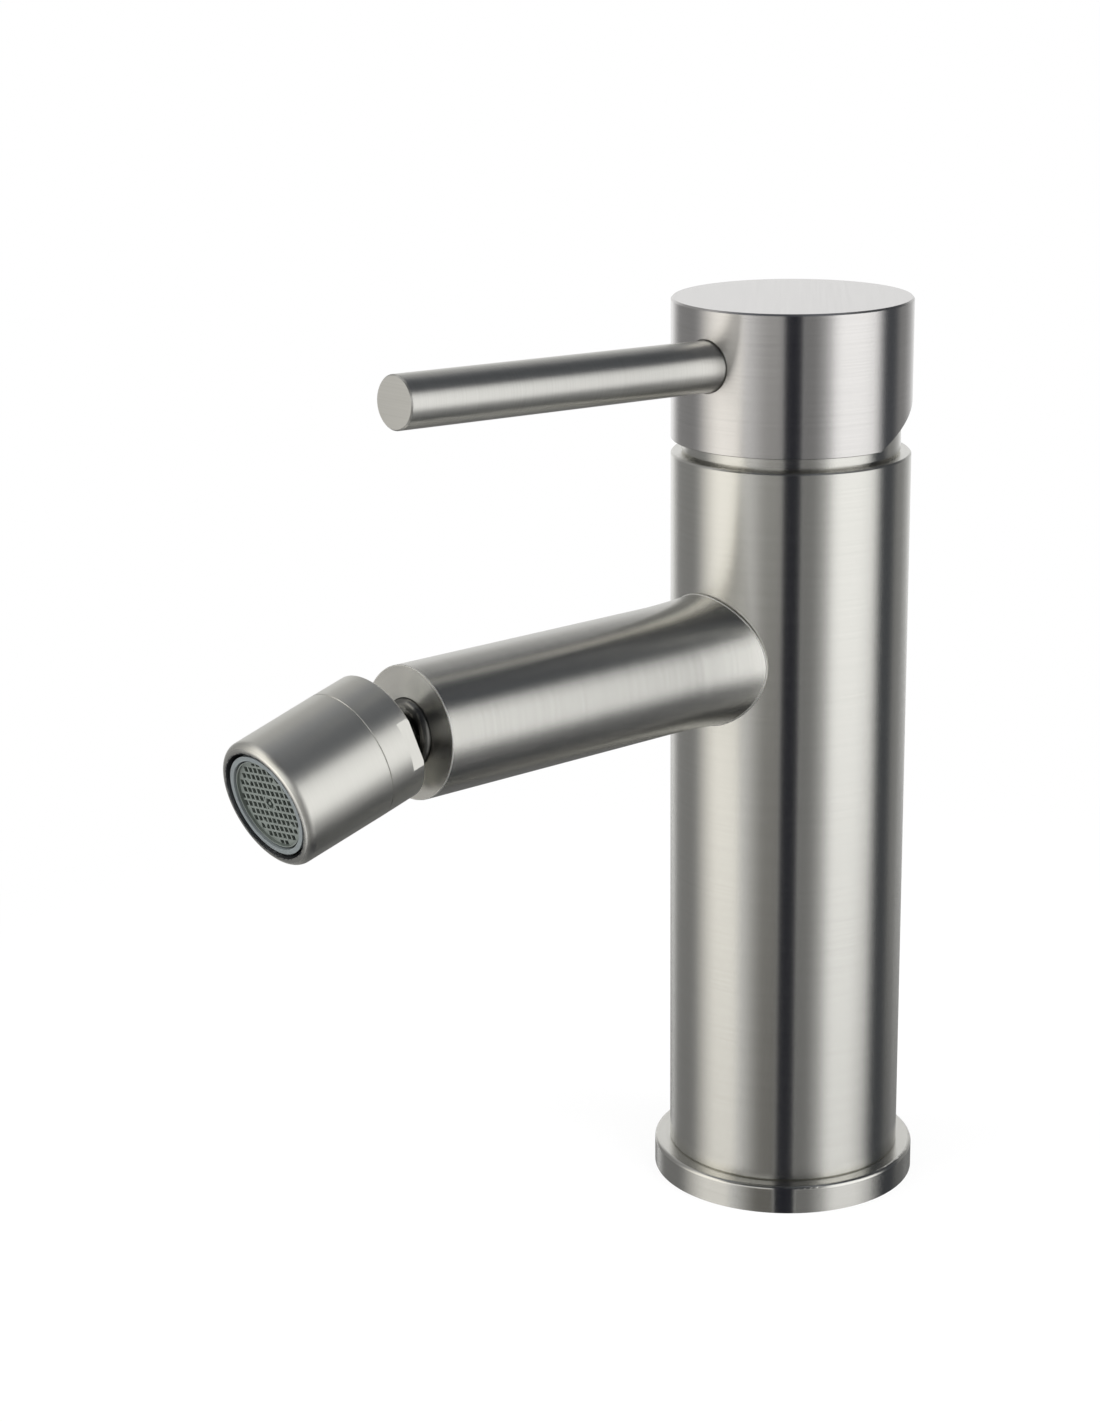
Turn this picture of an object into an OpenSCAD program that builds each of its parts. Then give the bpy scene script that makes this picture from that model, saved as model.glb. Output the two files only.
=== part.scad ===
// Single-lever bidet mixer in brushed stainless steel, with a ball-jointed nozzle.
// Millimetres, +Z up. The origin is the centre of the base flange's underside,
// and the spout and the lever point along -Y.

/* [Base] */
// Diameter of the base flange
flange_d = 51; // [48:0.5:60]
// Height of the base flange
flange_h = 5.5; // [4.5:0.5:9]
// Radius on the flange's upper edge
flange_edge = 0.7; // [0.3:0.1:1.5]
// Height of the lip that centres the body on the flange
flange_lip_h = 2; // [1:0.5:4]
// Thickness of that lip
flange_lip_t = 2; // [1.5:0.1:3]
// Depth of the deck seal's groove
deck_seal_h = 1.5; // [1:0.1:2.5]
// Width of the deck seal
deck_seal_w = 3; // [2:0.5:3.5]

/* [Body] */
// Diameter of the body
body_d = 45; // [44:0.5:47]
// Height of the body above the flange
body_h = 139; // [125:1:170]
// Chamfer on the body's upper rim
body_edge = 0.3; // [0.2:0.1:1]
// Chamfer on the body's foot, which shows as a fine seam on the flange
foot_edge = 0.25; // [0.1:0.05:0.5]
// Wall of the body around the recess for the hoses
recess_wall = 3.5; // [3:0.1:3.8]
// Depth of that recess
recess_depth = 40; // [20:1:60]
// Tap drill diameter of the M10 x 1 hose ports
port_d = 9; // [8.5:0.1:9.5]
// Depth of the hose ports
port_depth = 14; // [10:1:20]
// Distance between the two hose ports
port_spacing = 21; // [18:0.5:22]
// Tap drill diameter of the M8 fixing stud's hole
stud_d = 6.8; // [5:0.1:7.2]
// Depth of the stud's hole
stud_depth = 16; // [10:1:24]
// Distance of the stud's hole behind the axis
stud_back = 10; // [9:0.5:12]
// Diameter of the water passages in the body
passage_d = 6; // [4.5:0.5:6.5]

/* [Spout] */
// Diameter of the spout
spout_d = 23.7; // [22:0.1:25]
// Length of the spout from the body's axis to its end face
spout_len = 93.4; // [85:0.2:120]
// Depth of the spout's axis below the cartridge's chamber, at the body's axis
spout_below = 9.7; // [9.5:0.05:20]
// Upward slope of the spout in degrees
spout_rise = 0.4; // [0:0.1:3]
// Diameter of the water way through the spout
spout_bore = 8; // [6:0.5:9]
// Diameter of the spigot that screws into the body
spigot_d = 16; // [15:0.5:18]
// Length of the spigot inside the body's wall
spigot_len = 8; // [5:0.5:9]
// Chamfer on the spout's end
spout_edge = 0.2; // [0.1:0.05:0.5]
// Length of the flare where the spout meets the body
flare_len = 14; // [8:0.5:20]
// How much the flare adds to the spout's radius at the body
flare_rise = 0.6; // [0.3:0.1:1.5]

/* [Cartridge] */
// Wall of the body around the cartridge's chamber
body_wall = 4.5; // [4.3:0.1:4.6]
// Depth of the chamber below the body's rim
chamber_depth = 27; // [26.5:0.5:30]
// Height of the clamp nut
nut_h = 6.4; // [5:0.1:6.4]
// How far the seals stand proud under the cartridge
seal_proud = 0.4; // [0.2:0.1:0.6]
// Thickness of the cartridge's base plate
base_t = 4.3; // [3.8:0.1:4.5]
// Thickness of the fixed ceramic disc
fixed_disc_t = 3.8; // [3:0.1:4]
// Thickness of the moving ceramic disc
moving_disc_t = 3.6; // [3:0.1:3.8]
// Diameter of the holes in the ceramic discs
disc_port_d = 5; // [4:0.2:5.4]
// Height of the rocking pin above the body's rim
pivot_rise = 1.5; // [1:0.1:2]
// Diameter of the rocking pin
pin_d = 3.6; // [3:0.1:4]
// Width of the square stem
stem_w = 8; // [6:0.5:8]
// Distance from the rocking pin to the stem's driving ball
stem_arm = 11.8; // [11.4:0.1:12]
// Diameter of the stem's driving ball
stem_ball_d = 5.2; // [4.6:0.1:5.4]
// Greatest lift of the lever in degrees
lift_max = 25; // [15:1:25]

/* [Bonnet and handle] */
// How far the bonnet ring stands back from the body's side
bonnet_in = 2; // [1.8:0.1:2.5]
// Gap between the body's rim and the handle cap
cap_gap = 2.6; // [2:0.1:4]
// Height of the handle cap
cap_h = 26.3; // [24:0.1:32]
// Chamfer on the handle cap's upper rim, three times the one on its lower rim
cap_edge = 0.35; // [0.2:0.05:1]
// Wall of the handle cap's skirt
cap_wall = 1.4; // [1.2:0.1:1.5]
// Height of the hollow under the handle cap
cap_hollow = 10.7; // [10.5:0.1:11]
// Slope in degrees of the cut under the back of the cap, which clears the body on lifting
cap_cut = 26; // [26:0.5:30]
// Height of the lever's axis above the cap's lower rim
lever_up = 15; // [14.5:0.1:17]
// Diameter of the lever
lever_d = 9.5; // [8:0.1:10]
// Length of the lever from the body's axis to its tip
lever_len = 94.8; // [70:0.1:120]
// Upward slope of the closed lever in degrees
lever_rise = 2.2; // [0:0.1:4]
// Depth that the lever is let into the cap
lever_sink = 2.5; // [1.5:0.5:4]
// Diameter of the lever's screwed end
lever_thread_d = 6; // [5:0.5:7]
// Length of the lever's screwed end
lever_thread_len = 8; // [6:0.5:9]
// Diameter of the grub screw behind the stem
grub_d = 6; // [4:0.5:6]
// Length of the grub screw
grub_len = 10; // [6:0.5:11]

/* [Nozzle] */
// Diameter of the ball that the nozzle swivels on
ball_d = 12.4; // [12:0.1:12.6]
// Distance from the spout's end face to the ball's centre
ball_out = 8.6; // [8.4:0.1:11]
// Diameter of the neck behind the ball
neck_d = 7.2; // [6:0.1:7.6]
// Diameter of the hole in the spout's end face
mouth_d = 12.4; // [11.8:0.1:13]
// Dip of the nozzle below level in degrees, as set
nozzle_dip = 16.2; // [5:0.1:20]
// Diameter of the nozzle at its seam
nozzle_d = 23.4; // [23.2:0.1:25]
// Diameter of the nozzle at its front lip
lip_d = 23.1; // [22.8:0.1:24.5]
// Reach of the nozzle's nut behind the ball's centre
nut_back = 2.2; // [1.8:0.1:2.4]
// Reach of the nozzle's nut in front of the ball's centre
nut_front = 5.1; // [4.5:0.1:6]
// Length of the nozzle in front of the ball's centre
nozzle_len = 23.2; // [22:0.1:28]
// Width across the spanner flats on the nozzle's nut
flats_w = 21.7; // [21:0.1:22.6]
// Length of the spanner flats along the nozzle
flats_len = 2.5; // [1.5:0.1:3]
// Turn of the spanner flats about the nozzle's axis in degrees
flats_turn = 9; // [0:1:180]
// Radius on the nozzle's front lip
lip_round = 1.5; // [0.8:0.1:1.5]
// Diameter of the aerator cartridge
aerator_d = 18.3; // [18:0.1:18.6]
// Pitch of the holes in the aerator's outlet grid
grid_pitch = 1.35; // [1.3:0.05:2.4]
// Width of the bars between those holes
grid_bar = 0.4; // [0.3:0.05:0.5]
// Turn of the outlet grid about the nozzle's axis in degrees
grid_turn = 8; // [0:1:90]

/* [Clearances] */
// Radial clearance of turning and rocking fits
running = 0.06; // [0.03:0.01:0.1]
// Radial clearance of pieces that are screwed or slipped together
slip = 0.05; // [0.03:0.01:0.1]
// Gap between pieces that move past each other
moving_gap = 0.3; // [0.2:0.05:0.4]
// Water film between the ceramic discs
disc_gap = 0.05; // [0.03:0.01:0.1]

/* [Hidden] */
$fn = 96;

steel = [0.72, 0.71, 0.69];
brass = [0.78, 0.62, 0.32];
rubber = [0.10, 0.10, 0.10];
ceramic = [0.93, 0.92, 0.90];
white_plastic = [0.88, 0.88, 0.86];
grey_plastic = [0.62, 0.64, 0.62];

// Reach of a cut past the face that it opens
over = 1;
body_r = body_d / 2;
body_top = flange_h + body_h;
recess_d = body_d - 2 * recess_wall;
recess_top = flange_h + recess_depth;
flange_hole_d = recess_d - 2 * flange_lip_t;
deck_seal_in = 3;
deck_seal_r = flange_hole_d / 2 + deck_seal_in;
chamber_d = body_d - 2 * body_wall;
chamber_z = body_top - chamber_depth;
spout_z = chamber_z - spout_below;
root_gap = 0.3;
// Height above the spout's axis where the inlet passages bend to the cartridge
passage_bend = 5;

// Cartridge: its radii from the chamber inwards
cartridge_play = 0.5;
housing_r = chamber_d / 2 - cartridge_play;
housing_wall = 2.2;
disc_room_r = housing_r - housing_wall;
rotor_rim_w = 1.88;
rotor_r = disc_room_r - rotor_rim_w;
housing_bore_r = rotor_r + running;
neck_wall = 1.8;
housing_neck_r = housing_bore_r + neck_wall;
nut_step = 1;
nut_r = chamber_d / 2 + nut_step;

// Cartridge stack, from the chamber's floor upwards
base_z = chamber_z + seal_proud;
fixed_disc_z = base_z + base_t;
moving_disc_z = fixed_disc_z + fixed_disc_t + disc_gap;
carrier_z = moving_disc_z + moving_disc_t;
carrier_t = 3;
rotor_z = carrier_z + carrier_t + moving_gap;
rotor_rim_h = 2.3;
rotor_step_z = rotor_z + rotor_rim_h;
pivot_z = body_top + pivot_rise;
neck_top = pivot_z + pin_d / 2;
pin_cover = 1.2;
rotor_top = neck_top + pin_cover;
nut_sink = 0.3;
nut_top = body_top - nut_sink;
nut_z = nut_top - nut_h;

// Ports of the cartridge: hot, cold and mixed
inlet_at = [6, -4.5];
outlet_at = [0, 6];
port_places = [[inlet_at[0], inlet_at[1]], [-inlet_at[0], inlet_at[1]], outlet_at];
port_seal_r = 4.2;
port_seal_lap = 0.2;
locating_pin_r = 1.5;
locating_pin_h = 3;
locating_pin_at = [9, 7];

// The stem's ball draws the disc carrier forwards as the lever lifts
stem_ball_z = pivot_z - stem_arm;
disc_travel = stem_arm * sin(lift_max);
disc_back = disc_travel / 2;
disc_play = 0.4;
moving_disc_r = disc_room_r - disc_back - disc_play;
boss_wall = 2.6;
boss_r = stem_ball_d / 2 + boss_wall;
boss_cover = 0.7;
boss_top = stem_ball_z + stem_arm * (1 - cos(lift_max)) + boss_cover;
arm_clear = 2;
slot_half_w = stem_w / 2 + moving_gap;
slot_front = (stem_arm - arm_clear) * tan(lift_max) + stem_w / 2;
slot_back = (rotor_top - pivot_z) * tan(lift_max) + stem_w / 2 / cos(lift_max) + moving_gap;

// Bonnet: wall and eye, as heights above the rocking pin
bonnet_r = body_r - bonnet_in;
bonnet_wall_up = 2.6;
bonnet_eye_up = 6.4;
bonnet_eye_r = 10;

// Handle
cap_z = body_top + cap_gap;
cap_top = cap_z + cap_h;
cap_roof = cap_z + cap_hollow;
lever_z = cap_z + lever_up;
lever_seat = body_r - lever_sink;
lever_relief_in = 1;
lever_relief_w = 0.25;
cap_cover = 5;
stem_top = cap_top - cap_cover;
grub_z = (cap_roof + stem_top) / 2;
plug_rim = 0.4;
plug_r = grub_d / 2 + plug_rim;
plug_h = 2;

// Nozzle: radii, then places along its axis in front of the ball's centre
ball_r = ball_d / 2;
ball_s = spout_len + ball_out;
nozzle_r = nozzle_d / 2;
nut_wall = 2.4;
thread_r = nozzle_r - nut_wall;
seat_wall = 1.3;
seat_room_r = ball_r + seat_wall;
aerator_r = aerator_d / 2;
aerator_ring_w = 0.85;
aerator_play = 0.7;
grid_play = 0.3;
grid_r = aerator_r - aerator_ring_w - grid_play;
grid_ledge_w = 0.4;
ledge_r = grid_r - grid_ledge_w;
seal_s = 0.5;
seal_t = 1;
seat_run = 3.2;
chamber_s = ball_r + seat_run;
washer_t = 1.5;
aerator_s = chamber_s + washer_t;
aerator_sink = 0.35;
aerator_end = nozzle_len - aerator_sink;
screen_t = 1.5;
grid_t = 1.4;
grid_sink = 0.9;
grid_s = aerator_end - grid_sink - grid_t;
seam_chamfer = 0.12;
nut_chamfer = 0.25;

// Nipple that carries the ball, screwed into the spout's end
mouth_depth = 3;
nipple_len = 14;
nipple_thread_r = 4.8;
nipple_bore = 5;
nipple_seal_h = 1;
nipple_play = 0.15;
nipple_rim_r = mouth_d / 2 - nipple_play;
nipple_round = 1.2;
nipple_edge = 0.2;

// Grooves for the O-rings
seal_groove_at = 1.5;
seal_groove_w = 2;
seal_groove_depth = 1.4;
seal_section_r = seal_groove_depth / 2 - slip / 2;
housing_groove_up = 3;
housing_groove_z = fixed_disc_z + housing_groove_up;
housing_groove_depth = 1.3;
rotor_groove_up = 4;
rotor_groove_z = rotor_step_z + rotor_groove_up;
rotor_groove_depth = 1.3;

// Places children with their +Z along the spout, from the body's axis
module along_spout(s = 0) {
    translate([0, 0, spout_z]) rotate([90 - spout_rise, 0, 0]) translate([0, 0, s]) children();
}

// Places children with their +Z along the lever, from the body's axis
module along_lever(s = 0) {
    translate([0, 0, lever_z]) rotate([90 - lever_rise, 0, 0]) translate([0, 0, s]) children();
}

// Places children with their +Z along the nozzle, from the ball's centre
module along_nozzle(s = 0) {
    along_spout(ball_s) rotate([spout_rise + nozzle_dip, 0, 0]) translate([0, 0, s]) children();
}

module tube(r_out, r_in, h) {
    difference() {
        cylinder(r = r_out, h = h);
        translate([0, 0, -over]) cylinder(r = r_in, h = h + 2 * over);
    }
}

module o_ring(r_mid, r_section) {
    rotate_extrude() translate([r_mid, 0]) circle(r_section);
}

// Solid disc with chamfered rims
module chamfered_disc(r, h, low, high) {
    rotate_extrude()
        polygon([[0, 0], [r - low, 0], [r, low], [r, h - high], [r - high, h], [0, h]]);
}

// The two inlets and the outlet of the cartridge, as children set at each place
module at_ports() {
    for (place = port_places) translate(place) children();
}

module at_locating_pins() {
    for (side = [-1, 1]) translate([side * locating_pin_at[0], locating_pin_at[1]]) children();
}

module inlet_passages() {
    bend_z = spout_z + passage_bend;
    run = port_spacing / 2 - inlet_at[0];
    drop = chamber_z - bend_z;
    for (side = [-1, 1]) {
        translate([side * port_spacing / 2, inlet_at[1], recess_top])
            cylinder(d = passage_d, h = bend_z - recess_top);
        translate([side * port_spacing / 2, inlet_at[1], recess_top - over])
            cylinder(d = port_d, h = port_depth + over);
        translate([side * inlet_at[0], inlet_at[1], chamber_z])
            rotate([0, side * (180 - atan(run / drop)), 0])
                translate([0, 0, -over]) cylinder(d = disc_port_d, h = norm([run, drop]) + over);
    }
}

module outlet_passage() {
    translate([outlet_at[0], outlet_at[1], spout_z])
        cylinder(d = passage_d, h = chamber_z - spout_z + over);
    along_spout(-outlet_at[1]) cylinder(d = spout_bore, h = body_r);
    along_spout(body_r - spigot_len - slip) cylinder(r = spigot_d / 2 + slip, h = spigot_len + over);
}

module body() {
    color(steel) difference() {
        translate([0, 0, flange_h]) chamfered_disc(body_r, body_h, foot_edge, body_edge);
        translate([0, 0, flange_h - over]) cylinder(d = recess_d, h = recess_depth + over);
        translate([0, 0, chamber_z]) cylinder(d = chamber_d, h = chamber_depth + over);
        translate([0, 0, nut_z - over]) cylinder(r = nut_r, h = chamber_depth);
        translate([0, stud_back, recess_top - over]) cylinder(d = stud_d, h = stud_depth + over);
        inlet_passages();
        outlet_passage();
        at_locating_pins()
            translate([0, 0, chamber_z - locating_pin_h])
                cylinder(r = locating_pin_r + slip, h = chamber_depth);
    }
}

module base_flange() {
    r = flange_d / 2;
    lip_r = recess_d / 2 - slip;
    color(steel) difference() {
        union() {
            rotate_extrude() {
                square([r - flange_edge, flange_h]);
                square([r, flange_h - flange_edge]);
                translate([r - flange_edge, flange_h - flange_edge]) circle(flange_edge);
            }
            cylinder(r = lip_r, h = flange_h + flange_lip_h);
        }
        translate([0, 0, -over]) cylinder(d = flange_hole_d, h = flange_h + flange_lip_h + 2 * over);
        translate([0, 0, -over])
            tube(deck_seal_r + deck_seal_w + slip, deck_seal_r - slip, deck_seal_h + over);
    }
}

module deck_seal() {
    color(rubber) tube(deck_seal_r + deck_seal_w, deck_seal_r, deck_seal_h);
}

// Bar of the spout with a slight flare towards the body; the flare's curve starts a
// little under the bar's surface
module spout_bar() {
    r = spout_d / 2;
    sunk = 0.02;
    rise = flare_rise + sunk;
    curve_r = (flare_len * flare_len + rise * rise) / (2 * rise);
    along_spout() rotate_extrude() {
        polygon([[0, 0], [r, 0], [r, spout_len - spout_edge], [r - spout_edge, spout_len], [0, spout_len]]);
        difference() {
            square([r + 2 * rise, body_r + flare_len]);
            translate([r - sunk + curve_r, body_r + flare_len]) circle(curve_r, $fn = 720);
        }
    }
}

module spout() {
    color(steel) difference() {
        union() {
            difference() {
                spout_bar();
                cylinder(r = body_r + root_gap, h = cap_top);
            }
            along_spout(body_r - spigot_len) cylinder(d = spigot_d, h = spigot_len + over);
        }
        along_spout(body_r - spigot_len - over) cylinder(d = spout_bore, h = spout_len);
        along_spout(body_r - spigot_len + seal_groove_at)
            tube(spigot_d / 2 + over, spigot_d / 2 - seal_groove_depth, seal_groove_w);
        along_spout(spout_len - mouth_depth) cylinder(d = mouth_d, h = mouth_depth + over);
        along_spout(spout_len - nipple_len) cylinder(r = nipple_thread_r + slip, h = nipple_len);
    }
}

module spout_seal() {
    color(rubber) along_spout(body_r - spigot_len + seal_groove_at + seal_groove_w / 2)
        o_ring(spigot_d / 2 - seal_groove_depth / 2, seal_section_r);
}

module cartridge_base() {
    color(white_plastic) difference() {
        union() {
            translate([0, 0, base_z]) cylinder(r = housing_r, h = base_t);
            at_locating_pins()
                translate([0, 0, chamber_z - locating_pin_h + moving_gap])
                    cylinder(r = locating_pin_r, h = base_z - chamber_z + locating_pin_h);
        }
        at_ports() translate([0, 0, base_z - over]) cylinder(r = port_seal_r + slip, h = base_t + 2 * over);
    }
}

module cartridge_seals() {
    color(rubber) at_ports() translate([0, 0, chamber_z])
        tube(port_seal_r, disc_port_d / 2 + port_seal_lap, fixed_disc_z - chamber_z);
}

module fixed_disc() {
    color(ceramic) difference() {
        translate([0, 0, fixed_disc_z]) cylinder(r = disc_room_r - slip, h = fixed_disc_t);
        at_ports() translate([0, 0, fixed_disc_z - over])
            cylinder(d = disc_port_d, h = fixed_disc_t + 2 * over);
    }
}

module cartridge_housing() {
    room_top = rotor_step_z + moving_gap;
    color(white_plastic) difference() {
        rotate_extrude() {
            translate([0, fixed_disc_z]) square([housing_r, nut_z - fixed_disc_z]);
            translate([0, fixed_disc_z]) square([housing_neck_r, neck_top - fixed_disc_z]);
        }
        translate([0, 0, fixed_disc_z - over]) cylinder(r = disc_room_r, h = room_top - fixed_disc_z + over);
        translate([0, 0, fixed_disc_z]) cylinder(r = housing_bore_r, h = neck_top);
        translate([0, 0, housing_groove_z])
            tube(housing_r + over, housing_r - housing_groove_depth, seal_groove_w);
    }
}

module cartridge_o_ring() {
    r_in = housing_r - housing_groove_depth + slip;
    r_out = chamber_d / 2 - slip;
    color(rubber) translate([0, 0, housing_groove_z + seal_groove_w / 2])
        o_ring((r_in + r_out) / 2, (r_out - r_in) / 2);
}

module clamp_nut() {
    notch_w = 4;
    notch_h = 2;
    color(brass) difference() {
        translate([0, 0, nut_z]) tube(nut_r - slip, housing_neck_r + moving_gap / 2, nut_h);
        for (turn = [0, 90]) rotate([0, 0, turn])
            translate([-nut_r, -notch_w / 2, nut_top - notch_h]) cube([2 * nut_r, notch_w, notch_h + over]);
    }
}

// Turned cover over the cartridge: a short wall on the body's rim and a sloping roof,
// low enough at the back for the lifted handle cap
module bonnet_ring() {
    wall = 1.3;
    groove_h = 0.55;
    groove_w = 1.2;
    foot_r = nut_r - slip;
    wall_top = pivot_z + bonnet_wall_up;
    eye_top = pivot_z + bonnet_eye_up;
    color(steel) rotate_extrude() polygon([
        [foot_r - wall, nut_top], [foot_r, nut_top], [foot_r, body_top],
        [bonnet_r - groove_w, body_top], [bonnet_r - groove_w, body_top + groove_h],
        [bonnet_r, body_top + groove_h], [bonnet_r, wall_top], [bonnet_eye_r, eye_top],
        [bonnet_eye_r, eye_top - wall], [foot_r - wall, wall_top - wall]]);
}

module ball_nipple() {
    thread_end = -nipple_len + moving_gap;
    color(steel) along_spout(spout_len) rotate_extrude() difference() {
        union() {
            translate([0, thread_end]) square([nipple_thread_r, nipple_len]);
            translate([0, -mouth_depth + nipple_seal_h]) square([nipple_rim_r, mouth_depth - nipple_seal_h]);
            translate([0, -mouth_depth + nipple_seal_h])
                square([nipple_rim_r - nipple_round, mouth_depth - nipple_seal_h + nipple_round]);
            translate([nipple_rim_r - nipple_round, 0]) circle(nipple_round);
            square([neck_d / 2, ball_out]);
            translate([0, ball_out]) intersection() {
                circle(ball_r);
                translate([0, -ball_r]) square([ball_r, 2 * ball_r]);
            }
        }
        translate([0, thread_end - over]) square([nipple_bore / 2, nipple_len + ball_out + ball_d]);
        translate([neck_d / 2, nipple_round / 4])
            square([nipple_rim_r - nipple_round - neck_d / 2 - nipple_edge, nipple_round]);
    }
}

module nipple_seal() {
    color(rubber) along_spout(spout_len - mouth_depth)
        tube(mouth_d / 2 - slip, nipple_thread_r + slip, nipple_seal_h);
}

module rotor() {
    color(white_plastic) difference() {
        rotate_extrude() {
            translate([0, rotor_z]) square([disc_room_r - moving_gap, rotor_rim_h]);
            translate([0, rotor_z]) square([rotor_r, rotor_top - rotor_z]);
        }
        translate([-boss_r - moving_gap, -disc_travel - boss_r - moving_gap, rotor_z - over])
            cube([2 * (boss_r + moving_gap), disc_travel + 2 * (boss_r + moving_gap),
                boss_top + moving_gap - rotor_z + over]);
        translate([-slot_half_w, -slot_front, rotor_z - over])
            cube([2 * slot_half_w, slot_front + slot_back, rotor_top - rotor_z + 2 * over]);
        translate([-rotor_r - over, 0, pivot_z]) rotate([0, 90, 0])
            cylinder(r = pin_d / 2 + slip, h = 2 * (rotor_r + over));
        translate([0, 0, rotor_groove_z]) tube(rotor_r + over, rotor_r - rotor_groove_depth, seal_groove_w);
    }
}

module rotor_o_ring() {
    r_in = rotor_r - rotor_groove_depth + slip;
    color(rubber) translate([0, 0, rotor_groove_z + seal_groove_w / 2])
        o_ring((r_in + rotor_r) / 2, (rotor_r - r_in) / 2);
}

module pivot_pin() {
    pin_inset = 1;
    pin_len = 2 * (rotor_r - pin_inset);
    color(steel) translate([-pin_len / 2, 0, pivot_z]) rotate([0, 90, 0]) cylinder(d = pin_d, h = pin_len);
}

module moving_disc() {
    recess_t = moving_disc_t / 2;
    color(ceramic) difference() {
        translate([0, disc_back, moving_disc_z]) cylinder(r = moving_disc_r, h = moving_disc_t);
        translate([0, outlet_at[1] + disc_port_d / 4, moving_disc_z - over])
            cylinder(d = disc_port_d * 1.6, h = recess_t + over);
    }
}

module disc_carrier() {
    color(grey_plastic) difference() {
        union() {
            translate([0, disc_back, carrier_z]) cylinder(r = moving_disc_r, h = carrier_t);
            translate([0, 0, carrier_z]) cylinder(r = boss_r, h = boss_top - carrier_z);
        }
        translate([0, 0, stem_ball_z - stem_ball_d / 2 - moving_gap])
            cylinder(r = stem_ball_d / 2 + moving_gap / 2, h = boss_top);
    }
}

module stem() {
    arm_neck = 0.6;
    hub_rim = 0.4;
    arm_r = stem_ball_d / 2 - arm_neck;
    hub_r = stem_w / 2 + hub_rim;
    color(brass) difference() {
        union() {
            translate([-stem_w / 2, -stem_w / 2, pivot_z]) cube([stem_w, stem_w, stem_top - pivot_z]);
            translate([-stem_w / 2, 0, pivot_z]) rotate([0, 90, 0]) cylinder(r = hub_r, h = stem_w);
            translate([0, 0, stem_ball_z]) cylinder(r = arm_r, h = stem_arm);
            translate([0, 0, stem_ball_z]) sphere(d = stem_ball_d);
        }
        translate([-stem_w, 0, pivot_z]) rotate([0, 90, 0]) cylinder(r = pin_d / 2 + running, h = 2 * stem_w);
    }
}

module handle_cap() {
    skirt_r = body_r - cap_wall;
    haunch = 2.1;
    socket_w = stem_w + 2 * slip;
    color(steel) difference() {
        translate([0, 0, cap_z]) chamfered_disc(body_r, cap_h, cap_edge / 3, cap_edge);
        translate([0, 0, cap_z]) rotate_extrude()
            polygon([[0, -over], [skirt_r, -over], [skirt_r, cap_hollow - haunch],
                [skirt_r - haunch, cap_hollow], [0, cap_hollow]]);
        translate([0, 0, cap_z]) rotate([cap_cut, 0, 0])
            translate([-body_d, 0, -body_d]) cube([2 * body_d, 2 * body_d, body_d]);
        translate([-socket_w / 2, -socket_w / 2, cap_roof - over])
            cube([socket_w, socket_w, stem_top - cap_roof + over + moving_gap]);
        along_lever(lever_seat) cylinder(r = lever_d / 2 + slip, h = body_r);
        along_lever(lever_seat + lever_relief_in) cylinder(r = lever_d / 2 + lever_relief_w, h = body_r);
        along_lever(lever_seat - lever_thread_len - moving_gap)
            cylinder(r = lever_thread_d / 2 + slip, h = body_r);
        translate([0, 0, grub_z]) rotate([-90, 0, 0]) cylinder(r = grub_d / 2 + slip, h = body_d);
        translate([0, body_r - plug_h, grub_z]) rotate([-90, 0, 0]) cylinder(r = plug_r + slip, h = body_d);
    }
}

module lever() {
    tip_chamfer = 0.25;
    color(steel) {
        along_lever(lever_seat) chamfered_disc(lever_d / 2, lever_len - lever_seat, 0, tip_chamfer);
        along_lever(lever_seat - lever_thread_len) cylinder(d = lever_thread_d, h = lever_thread_len + over);
    }
}

module grub_screw() {
    key_d = grub_d * 0.55;
    key_depth = grub_len * 0.4;
    color(steel) translate([0, stem_w / 2, grub_z]) rotate([-90, 0, 0]) difference() {
        cylinder(d = grub_d, h = grub_len);
        translate([0, 0, grub_len - key_depth]) cylinder(d = key_d, h = key_depth + over, $fn = 6);
    }
}

module index_plug() {
    stalk_len = 3;
    color(grey_plastic) intersection() {
        translate([0, body_r - plug_h, grub_z]) rotate([-90, 0, 0]) {
            cylinder(r = plug_r, h = 2 * plug_h);
            translate([0, 0, -stalk_len]) cylinder(d = grub_d, h = stalk_len + over);
        }
        cylinder(r = body_r - slip, h = cap_top);
    }
}

// Ring on the front of the ball, between two cones from the ball's centre
module ball_seat() {
    inner_r = ball_r + running;
    outer_r = seat_room_r - moving_gap / 2;
    rear_cone = 52;
    front_cone = 28;
    far = 2 * ball_d;
    color(grey_plastic) along_nozzle() rotate_extrude() intersection() {
        difference() {
            circle(outer_r);
            circle(inner_r);
        }
        polygon([[0, 0], far * [sin(front_cone), cos(front_cone)], far * [sin(rear_cone), cos(rear_cone)]]);
    }
}

module ball_seal() {
    color(rubber) along_nozzle() rotate_extrude() difference() {
        translate([0, seal_s + slip]) square([thread_r - running, seal_t - 2 * slip]);
        circle(ball_r + running);
    }
}

module nozzle_nut() {
    cut = nozzle_d;
    color(steel) along_nozzle() difference() {
        rotate_extrude() difference() {
            polygon([[0, -nut_back], [nozzle_r - nut_chamfer, -nut_back],
                [nozzle_r, nut_chamfer - nut_back], [nozzle_r, nut_front - seam_chamfer],
                [nozzle_r - seam_chamfer, nut_front], [0, nut_front]]);
            circle(ball_r + running);
            translate([0, seal_s]) square([thread_r, nut_front]);
        }
        for (turn = [0, 180]) rotate([0, 0, flats_turn + turn])
            translate([flats_w / 2, -cut / 2, -nut_back - over]) cube([cut, cut, flats_len + over]);
    }
}

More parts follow.
